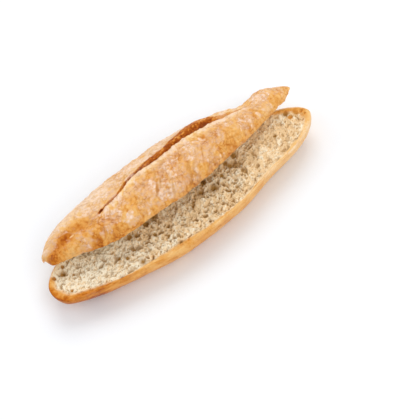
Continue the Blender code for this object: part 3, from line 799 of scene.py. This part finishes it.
def top_tones(x, y, s, height, opening, slash, marks):
    """Masks of the top crust: listed tones, clouds of noise and the marks, a pale ridge along the
    lip, partly a painted highlight on its edge, and along the flap, brown in the slash, with partly
    painted shade behind the lip and in the groove, patches of flour, broader in the middle and few
    low down, and white where it lies thick."""
    strength, in_slash, torn = slash
    calm, blister, crease, chevron, strokes, thin = marks
    more_bake, more_flour = (sum(tone[k] * hump(x - tone[0], tone[2]) * hump(y - tone[1], tone[3])
                                 for tone in TOP_TONES) for k in (4, 5))
    low = 1 - rising(height, 2, 4)
    ridge, share = np.zeros_like(y), np.zeros_like(y)
    # ridge: paler along the lip, partly a painted highlight on its edge
    ridge[:, :LIP_COLUMN] = hump(y[:, :LIP_COLUMN] - y[:, LIP_COLUMN, None], RIDGE_REACH) * strength
    behind = x[:, FLAP_COLUMN:]
    ridge[:, FLAP_COLUMN:] = FLAP_RIDGE * rising(behind, -95, 30) * falling(behind, 95, 20)
    share[:, INNER] = opening
    bake = MID_BAKE + 0.06 * around(x, -20, 40) - 0.04 * rising(x, 40, 30) + more_bake
    bake = bake + 0.05 * low - 0.48 * ridge + 0.12 * chevron + 0.06 * strokes
    bake = bake + 0.12 * cloudy(x, s, 12 * MM, 111) + 0.12 * crease - 0.06 * blister
    bake = bake + 0.20 * (1 - 0.5 * calm) * cloudy(1.6 * x, 0.7 * s, 4 * MM, 114)
    floor = in_slash * torn
    bake = bake * (1 - floor) + floor * slash_tone(x, s, share)
    # darker in the narrow groove, most towards the middle: partly painted shade in the groove
    cut = rising(x, -46, 24) * (1 - rising(x, 50, 14))
    bake = bake + (0.12 + 0.36 * cut) * in_slash * (1 - torn) * falling(x, 60, 10)

    broad = around(x, 12, 38)
    patches = (1 + 0.35 * broad) * cloudy(x, s, 9 * MM, 121, 2) + more_flour
    patches = patches + (0.9 - 0.35 * broad) * cloudy(x, s, 3.6 * MM, 124, 2)
    patches = patches + 0.3 * ridge - 0.8 * chevron - 0.5 * strokes + 0.25 * around(y, -15, 9)
    flour = ease((patches + 0.25) / 0.6) * (1 - floor) * (1 - 0.5 * crease) * (1 - 0.8 * low)
    thick = cloudy(x, s, 5.5 * MM, 127) + 0.3 * blister + 0.4 * more_flour + 0.5 * ridge
    thick = thick - 0.25 * strokes + 0.25 * broad * cloudy(x, s, 13 * MM, 157, 2)
    white = ease((thick - 0.16) / (0.34 + 0.2 * broad)) * ease(2 * flour)
    creased = 0.5 * thin + 0.5 * ease((strokes - 0.1) / 0.5) + 0.5 * ease((chevron - 0.05) / 0.35)
    creased = np.clip(creased + 0.25 * crease, 0, 1) * (1 - 0.8 * np.clip(ridge, 0, 1))
    creased = creased * (1 - in_slash) * (1 - 0.5 * calm) * (1 - 0.55 * rising(x, 45, 35))
    creased = creased * (1 - 0.3 * around(x, 45, 22))
    return {"bake": bake, "flour": flour, "white": white * (1 - 0.5 * creased), "creased": creased}


def top_crust():
    """Sections and masks of the top crust: superellipse sections on the outline with the soft forms
    and the slash, and on them blisters, wrinkles, chevrons, strokes and thin lines, but strands on
    the torn floor."""
    x = stations(CRUST_SECTIONS) * TOP_LENGTH / 2
    front, back = torn_top_outline(x)
    lip, flap = slash_lines(x)
    to_lip = np.linspace(0, 1, FLANK_COLUMNS + 1)[:-1]
    opening = np.linspace(0, 1, SLASH_COLUMNS + 1)
    to_back = np.linspace(0, 1, BACK_COLUMNS + 1)[1:]
    angle = np.concatenate([lip * to_lip, lip + (flap - lip) * opening,
                            flap + (math.pi - flap) * to_back], 1)
    across, up = arc(angle, TOP_SQUARENESS)
    y = (front + back)[:, None] / 2 + across * (back - front)[:, None] / 2
    xx = np.repeat(x[:, None], y.shape[1], 1)
    height = top_rise(x, up)
    shell = np.stack([xx, y, height], -1)
    normal, s = outward(shell), run_length(shell)
    strength = slash_strength(x)[:, None]
    rise, in_slash, torn = slash_forms(x, y, opening)

    calm = 0.75 * falling(xx, *CALM_LEFT)
    skin, blister, crease = (part * (1 - calm) for part in baked_skin(xx, s, 91))
    chevron, strokes, thin = top_marks(xx, y, s, calm)
    wrinkle = lumps(2.4 * xx, s, 8 * MM, 193) * (0.6 + 0.4 * lumps(xx, s, 14 * MM, 194))
    skin = skin + 0.30 * MM * wrinkle + 0.4 * MM * chevron + 0.15 * MM * strokes - 0.2 * MM * thin
    strands = 0.35 * MM * cloudy(0.35 * xx, s, 2.2 * MM, 101)
    strands = strands + 0.45 * MM * cloudy(xx, s, 4 * MM, 104)
    relief = crust_forms(xx, y) + rise + skin * (1 - in_slash) + strands * in_slash * torn
    near_tip = ease((TOP_LENGTH / 2 - np.abs(xx)) / TIP_FADE)
    fade = ease(height / TOP_FADE) * near_tip
    skin_fade = rising(height, 0, 1.5) * near_tip * (1 - fade)
    shell = shell + normal * (relief * fade + skin * skin_fade)[..., None]
    shell[..., 1] += LIP_OVERHANG * around(y - y[:, LIP_COLUMN, None], 0, 1.6) * strength * torn
    masks = top_tones(xx, y, s, height, opening, (strength, in_slash, torn),
                      (calm, blister, crease, chevron, strokes, thin))
    return shell_rows(x, shell, torn_top_outline, top_rise, 1, TOP_SQUARENESS), masks


# ======== Pieces ========

def volume_under(points, faces):
    """Six times the volume between the origin and the faces, positive where they point outwards."""
    a, *others = (points[column] for column in faces.T)
    return sum(np.einsum("ij,ij->", a, np.cross(b, c)) for b, c in zip(others, others[1:]))


def in_scene(name, data):
    """A new object with the data, linked to the scene."""
    made = bpy.data.objects.new(name, data)
    bpy.context.scene.collection.objects.link(made)
    return made


def closed_piece(name, rows, ends, masks, material):
    """A closed mesh: a ring of quads between each two sections, a fan of triangles at each tip."""
    count, columns = rows.shape[:2]
    points = np.concatenate([rows.reshape(-1, 3), ends])
    i, j = np.meshgrid(np.arange(count - 1), np.arange(columns), indexing="ij")
    k = (j + 1) % columns
    this, following = i * columns, (i + 1) * columns
    quads = np.stack([this + j, following + j, following + k, this + k], -1).reshape(-1, 4)
    j = np.arange(columns)
    k = (j + 1) % columns
    tip = count * columns
    last = (count - 1) * columns
    fans = np.concatenate([np.stack([np.full(columns, tip), j, k], -1),
                           np.stack([np.full(columns, tip + 1), last + k, last + j], -1)])
    if volume_under(points, quads) + volume_under(points, fans) < 0:
        quads, fans = quads[:, ::-1], fans[:, ::-1]
    mesh = bpy.data.meshes.new(name)
    mesh.from_pydata(points, [], quads.tolist() + fans.tolist())
    for mask, values in masks.items():
        full = np.repeat(values[:, -1:], columns, 1)
        full[:, :values.shape[1]] = values
        full[:, -LAP_STEPS:] = values[:, :1]
        full = np.concatenate([full.ravel(), [full[0].mean(), full[-1].mean()]])
        layer = mesh.attributes.new(mask, "FLOAT", "POINT")
        layer.data.foreach_set("value", full.astype(np.float32))
    mesh.materials.append(material)
    mesh.shade_smooth()
    return in_scene(name, mesh)


def tips(length):
    """The two end points of a half in its own frame."""
    return np.array([[-length / 2, 0, 0], [length / 2, 0, 0]])


# ======== Materials ========

BAKED_STOPS = ((0.0, (0.94, 0.71, 0.44)), (0.25, (0.87, 0.53, 0.20)), (0.5, (0.77, 0.365, 0.085)),
               (0.72, (0.58, 0.19, 0.02)), (0.88, (0.38, 0.085, 0.006)),
               (1.0, (0.23, 0.045, 0.004)))
FLOUR, THICK_FLOUR = (0.79, 0.53, 0.36), (0.96, 0.76, 0.61)
DUST_SHEEN = (1.0, 0.91, 0.87)
DULL_CRACK = (0.46, 0.22, 0.085)
CREASE_COVER, FLOUR_COVER, THICK_COVER = 0.75, 0.85, 0.8
# pale crumb is partly painted highlight on the walls; the pore colour is painted shade
PALE_AND_LIT_CRUMB, CRUMB_BODY, PORE_SHADE = (0.97, 0.86, 0.65), (0.87, 0.62, 0.345), (0.39, 0.195, 0.045)
FLOOR_COLOURS = ((0.92, 0.94, 0.955), (0.93, 0.95, 0.965))
# scales of noise, in cells for each metre
CRUST_GRAIN, CRUMB_GRAIN, FLOOR_GRAIN = 430.0, 650.0, 3.0
FINER_GRAIN = 3.7          # times as fine
CRACK_CELLS, CRACK_WOBBLE, CRACK_PATCHES, DULL_MARKS = 260.0, 380.0, 150.0, 300.0
CRACK_SHIFT = 2.6 * MM


class Nodes:
    """Short ways of adding and linking nodes in one node tree."""

    def __init__(self, tree):
        self.tree = tree

    def give(self, socket, value):
        """Links an input to another socket, or sets it to a value."""
        if isinstance(value, bpy.types.NodeSocket):
            self.tree.links.new(value, socket)
        else:
            socket.default_value = value

    def add(self, kind, values=None, **settings):
        """A node with its settings, and its inputs set to values or linked to sockets."""
        node = self.tree.nodes.new(kind)
        for name, setting in settings.items():
            setattr(node, name, setting)
        for name, value in (values or {}).items():
            self.give(node.inputs[name], value)
        return node

    def group(self, tree, values):
        """Outputs of one placed node group with its values."""
        return self.add("ShaderNodeGroup", values, node_tree=tree).outputs

    def sum(self, kind, a, b, clamp=False):
        """Result of one sum on two values or sockets."""
        return self.add("ShaderNodeMath", {0: a, 1: b}, operation=kind, use_clamp=clamp).outputs[0]

    def times(self, a, b, clamp=False):
        """Product of two values or sockets."""
        return self.sum("MULTIPLY", a, b, clamp)

    def above(self, value, start, factor):
        """How far a value is above the start, times the factor, from 0 to 1."""
        return self.times(self.sum("SUBTRACT", value, start), factor, clamp=True)

    def mask(self, name):
        """Values of a mask on the vertices."""
        return self.add("ShaderNodeAttribute", attribute_name=name).outputs["Fac"]

    def noise(self, place, scale, detail=3.0, roughness=0.55):
        """Noise from 0 to 1; scale in cells for each metre."""
        return self.add("ShaderNodeTexNoise", {"Vector": place, "Scale": scale, "Detail": detail,
                                               "Roughness": roughness}).outputs["Fac"]

    def ramp(self, value, stops):
        """Colour for a value through (place, colour) stops."""
        node = self.add("ShaderNodeValToRGB", {"Fac": value})
        elements = node.color_ramp.elements
        while len(elements) < len(stops):
            elements.new(1.0)
        for element, (place, colour) in zip(elements, stops):
            element.position = place
            element.color = (*colour, 1)
        return node.outputs["Color"]

    def mix(self, share, a, b):
        """Colour a, going over to b by the share."""
        node = self.add("ShaderNodeMix", {"Factor": share}, data_type="RGBA")
        for name, value in (("A", a), ("B", b)):
            socket = next(s for s in node.inputs if s.name == name and s.type == "RGBA")
            self.give(socket, (*value, 1) if isinstance(value, tuple) else value)
        return next(s for s in node.outputs if s.type == "RGBA")


def fine_grain(nodes, given):
    """Fine grain: noise of two sizes as a mottle from 0 to 1 and as a height for bumps."""
    coarse = nodes.noise(given["Place"], given["Scale"], 2.0, 0.45)
    fine = nodes.noise(given["Place"], nodes.times(given["Scale"], FINER_GRAIN))
    return coarse, nodes.sum("ADD", nodes.times(coarse, 0.6), nodes.times(fine, 0.4))


def baked_colour(nodes, given):
    """Colour of crust for how far it is baked: pale straw, gold, orange brown, deep brown."""
    shift = nodes.times(nodes.sum("SUBTRACT", given["Mottle"], 0.5), given["Mottling"])
    return [nodes.ramp(nodes.sum("ADD", given["Bake"], shift, clamp=True), BAKED_STOPS)]


def flour_dusting(nodes, given):
    """Flour: the colour goes over to a warm beige by the amount, broken up by the mottle, and to a
    pinkish white where it lies thick. Also gives how much of it is covered."""
    broken = nodes.above(given["Mottle"], 0.28, 2.6)
    amount = nodes.times(nodes.times(given["Amount"], broken), FLOUR_COVER, clamp=True)
    dusted = nodes.mix(amount, given["Colour"], FLOUR)
    thick = nodes.times(nodes.times(given["Thick"], broken), THICK_COVER, clamp=True)
    return nodes.mix(thick, dusted, THICK_FLOUR), nodes.sum("MAXIMUM", amount, thick)


def fine_cracks(nodes, given):
    """Fine cracks: thin lines between warped cells, kept where patches of noise let them show."""
    place = given["Place"]
    wobble = nodes.add("ShaderNodeTexNoise",
                       {"Vector": place, "Scale": CRACK_WOBBLE, "Detail": 2.0})
    shift = nodes.add("ShaderNodeVectorMath", {0: wobble.outputs["Color"], "Scale": CRACK_SHIFT},
                      operation="SCALE").outputs[0]
    shifted = nodes.add("ShaderNodeVectorMath", {0: place, 1: shift}, operation="ADD").outputs[0]
    edge = nodes.add("ShaderNodeTexVoronoi", {"Vector": shifted, "Scale": given["Scale"]},
                     feature="DISTANCE_TO_EDGE").outputs["Distance"]
    line = nodes.sum("SUBTRACT", 1.0, nodes.times(edge, 9.0), clamp=True)
    return [nodes.times(line, nodes.above(nodes.noise(place, CRACK_PATCHES, 2.0), 0.46, 8.0))]


GROUPS = ((fine_grain, ("Place", "Scale"), ("Mottle", "Height")),
          (baked_colour, ("Bake", "Mottle", "Mottling"), ("Colour",)),
          (flour_dusting, ("Colour", "Amount", "Thick", "Mottle"), ("Colour", "Mask")),
          (fine_cracks, ("Place", "Scale"), ("Cracks",)))
SOCKET_KINDS = {"Place": "Vector", "Colour": "Color"}     # the others are Float


def new_group(build, inputs, outputs):
    """A shader node group with named sockets, named after the function that fills it."""
    tree = bpy.data.node_groups.new(build.__name__, "ShaderNodeTree")
    for direction, names in (("INPUT", inputs), ("OUTPUT", outputs)):
        for name in names:
            kind = "NodeSocket" + SOCKET_KINDS.get(name, "Float")
            tree.interface.new_socket(name, in_out=direction, socket_type=kind)
    nodes = Nodes(tree)
    results = build(nodes, nodes.add("NodeGroupInput").outputs)
    nodes.add("NodeGroupOutput", dict(zip(outputs, results)))
    return tree


def material_with(name, roughness, gloss):
    """A material with a Principled shader, its nodes, the shader and the object's coordinates."""
    material = bpy.data.materials.new(name)
    material.use_nodes = True
    nodes = Nodes(material.node_tree)
    shader = material.node_tree.nodes["Principled BSDF"]
    shader.inputs["Roughness"].default_value = roughness
    shader.inputs["Specular IOR Level"].default_value = gloss
    place = nodes.add("ShaderNodeTexCoord").outputs["Object"]
    return material, nodes, shader, place


def bump(nodes, shader, height, distance):
    """Bumps of the height on the shader's normal."""
    node = nodes.add("ShaderNodeBump", {"Height": height, "Distance": distance, "Strength": 0.7})
    nodes.give(shader.inputs["Normal"], node.outputs["Normal"])


def crust_material(name, groups, mottling, cracking, marking):
    """Baked crust with fine cracks, a dusting of flour, dull marks in the flour and along creases,
    and fine grain."""
    material, nodes, shader, place = material_with(name, 0.62, 0.04)
    shader.inputs["Sheen Weight"].default_value = 0.25
    shader.inputs["Sheen Roughness"].default_value = 0.4
    shader.inputs["Sheen Tint"].default_value = (*DUST_SHEEN, 1)
    grain = nodes.group(groups["fine_grain"], {"Place": place, "Scale": CRUST_GRAIN})
    mottle = grain["Mottle"]
    cracks = nodes.group(groups["fine_cracks"], {"Place": place, "Scale": CRACK_CELLS})["Cracks"]
    bake = nodes.sum("ADD", nodes.mask("bake"), nodes.times(cracks, cracking))
    baked = nodes.group(groups["baked_colour"],
                        {"Bake": bake, "Mottle": mottle, "Mottling": mottling})
    uncracked = nodes.sum("SUBTRACT", 1.0, nodes.times(cracks, 0.8), clamp=True)
    amount = nodes.times(nodes.mask("flour"), uncracked)
    dusted = nodes.group(groups["flour_dusting"], {"Colour": baked["Colour"], "Amount": amount,
                                                   "Thick": nodes.mask("white"), "Mottle": mottle})
    marks = nodes.times(nodes.above(nodes.noise(place, DULL_MARKS, 2.0), 0.50, 5.0), 0.6)
    marks = nodes.sum("MAXIMUM", marks, nodes.times(cracks, 0.7))
    marks = nodes.times(marks, nodes.times(nodes.mask("flour"), marking), clamp=True)
    marks = nodes.sum("MAXIMUM", marks, nodes.times(nodes.mask("creased"), CREASE_COVER))
    colour = nodes.mix(marks, dusted["Colour"], DULL_CRACK)
    nodes.give(shader.inputs["Base Color"], colour)
    nodes.give(shader.inputs["Roughness"], nodes.sum("ADD", 0.55, nodes.times(dusted["Mask"], 0.3)))
    bump(nodes, shader, nodes.sum("SUBTRACT", grain["Height"], nodes.times(cracks, 0.5)), 0.35 * MM)
    return material


def crumb_material(name, groups):
    """Open crumb: cream walls, partly painted highlight, tan body, brown painted shade in the
    pores, and baked colours on the rind.
    """
    material, nodes, shader, place = material_with(name, 0.95, 0.05)
    grain = nodes.group(groups["fine_grain"], {"Place": place, "Scale": CRUMB_GRAIN})
    mottle = grain["Mottle"]
    # paler where the pale mask and the mottle are high: random tone and painted highlight
    light = nodes.sum("ADD", nodes.times(nodes.mask("pale"), 1.5), nodes.times(mottle, 1.6))
    body = nodes.mix(nodes.sum("SUBTRACT", light, 1.1, clamp=True), CRUMB_BODY, PALE_AND_LIT_CRUMB)
    # painted shade: open pores go dark brown
    crumb = nodes.mix(nodes.times(nodes.mask("open"), 0.9, clamp=True), body, PORE_SHADE)
    baked = nodes.group(groups["baked_colour"], {"Bake": nodes.mask("bake"), "Mottle": mottle,
                                                 "Mottling": 0.3})
    nodes.give(shader.inputs["Base Color"], nodes.mix(nodes.mask("rind"), crumb, baked["Colour"]))
    bump(nodes, shader, grain["Height"], 0.4 * MM)
    return material


def floor_material():
    """Pale matt paper with hardly any mottle."""
    material, nodes, shader, place = material_with("pale_floor", 0.9, 0.1)
    mottle = nodes.noise(place, FLOOR_GRAIN)
    nodes.give(shader.inputs["Base Color"], nodes.mix(mottle, *FLOOR_COLOURS))
    return material


# ======== Stage ========

def add_floor():
    """A wide flat sheet under the bread."""
    side = FLOOR_HALF_SIDE
    mesh = bpy.data.meshes.new("floor")
    mesh.from_pydata([(-side, -side, 0), (side, -side, 0), (side, side, 0), (-side, side, 0)], [],
                     [(0, 1, 2, 3)])
    mesh.materials.append(floor_material())
    floor = in_scene("floor", mesh)


def add_light(name, place, size, power, colour):
    """A square soft light that faces the bread."""
    data = bpy.data.lights.new(name, "AREA")
    data.size = size
    data.energy = power
    data.color = colour
    lamp = in_scene(name, data)
    lamp.location = place
    lamp.rotation_euler = (-Vector(place)).to_track_quat("-Z", "Y").to_euler()


def add_camera(centre):
    """Camera turned by azimuth, elevation and roll, and aimed a little off the centre."""
    turns = ((VIEW_AZIMUTH, "Z"), (math.pi / 2 - VIEW_ELEVATION, "X"), (VIEW_ROLL, "Z"))
    about_z, about_x, roll = (Matrix.Rotation(angle, 3, axis) for angle, axis in turns)
    right, up, back = (about_z @ about_x @ roll).transposed()
    place = centre + back * VIEW_DISTANCE
    aim = centre + right * VIEW_AIM[0] + up * VIEW_AIM[1]
    back = (place - aim).normalized()
    right = (right - back * right.dot(back)).normalized()
    data = bpy.data.cameras.new("camera")
    data.sensor_width = SENSOR
    data.lens = FOCAL_PIXELS / FRAME_PIXELS * SENSOR
    camera = in_scene("camera", data)
    turn = Matrix((right, back.cross(right), back)).transposed()
    camera.matrix_world = Matrix.Translation(place) @ turn.to_4x4()
    bpy.context.scene.camera = camera


def add_stage(centre):
    """Floor, pale sky, soft light from behind, from the left behind and from the front, and the
    camera."""
    scene = bpy.context.scene
    scene.view_settings.view_transform = "Standard"
    world = bpy.data.worlds.new("soft_daylight")
    world.use_nodes = True
    background = world.node_tree.nodes["Background"]
    background.inputs["Color"].default_value = (*SKY, 1)
    background.inputs["Strength"].default_value = SKY_STRENGTH
    scene.world = world
    add_floor()
    for light in LIGHTS:
        add_light(*light)
    add_camera(centre)


def main():
    """Builds the four pieces and the stage."""
    origin = np.array([*PLAN_MIDDLE, -BOTTOM_DEPTH])
    groups = {build.__name__: new_group(build, *sockets) for build, *sockets in GROUPS}
    smooth = crust_material("smooth_crust", groups, 0.25, 0.1, 0.1)
    floured = crust_material("floured_crust", groups, 0.40, 0.16, 0.6)
    crumb = crumb_material("open_crumb", groups)
    bottom_face, bottom_wall, bottom_masks = core_rows(
        bulged_bottom_outline, BOTTOM_LENGTH, bottom_cut_height, BOTTOM_FINE_SEED, bottom_rise,
        -1, True)
    bottom_core = np.concatenate([pressed_by_top(bottom_face), bottom_wall], 1)
    top_face, top_wall, top_masks = core_rows(
        torn_top_outline, TOP_LENGTH, top_cut_height, TOP_FINE_SEED, top_rise, 1, False)
    top_core = np.concatenate([top_face, top_wall], 1)
    bottom_ends, top_ends = tips(BOTTOM_LENGTH), tips(TOP_LENGTH)
    for name, node, finish, rows, masks, ends, look in (
            ("bottom_crust", "bottom_half", "crust", *bottom_crust(), bottom_ends, smooth),
            ("top_crust", "top_half", "crust", *top_crust(), top_ends, floured),
            ("bottom_crumb", "bottom_half", "crumb", bottom_core, bottom_masks,
             bottom_ends * CORE_TIPS, crumb),
            ("top_crumb", "top_half", "crumb", top_core, top_masks, top_ends * CORE_TIPS, crumb)):
        if node == "top_half":
            rows, ends = place_top(rows), place_top(ends)
        piece = closed_piece(name, rows - origin, ends - origin, masks, look)
        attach(piece, "root")
        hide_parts(node)
        print(piece.name, "triangles", sum(len(p.vertices) - 2 for p in piece.data.polygons))
    add_stage(Vector((-origin).tolist()))


main()
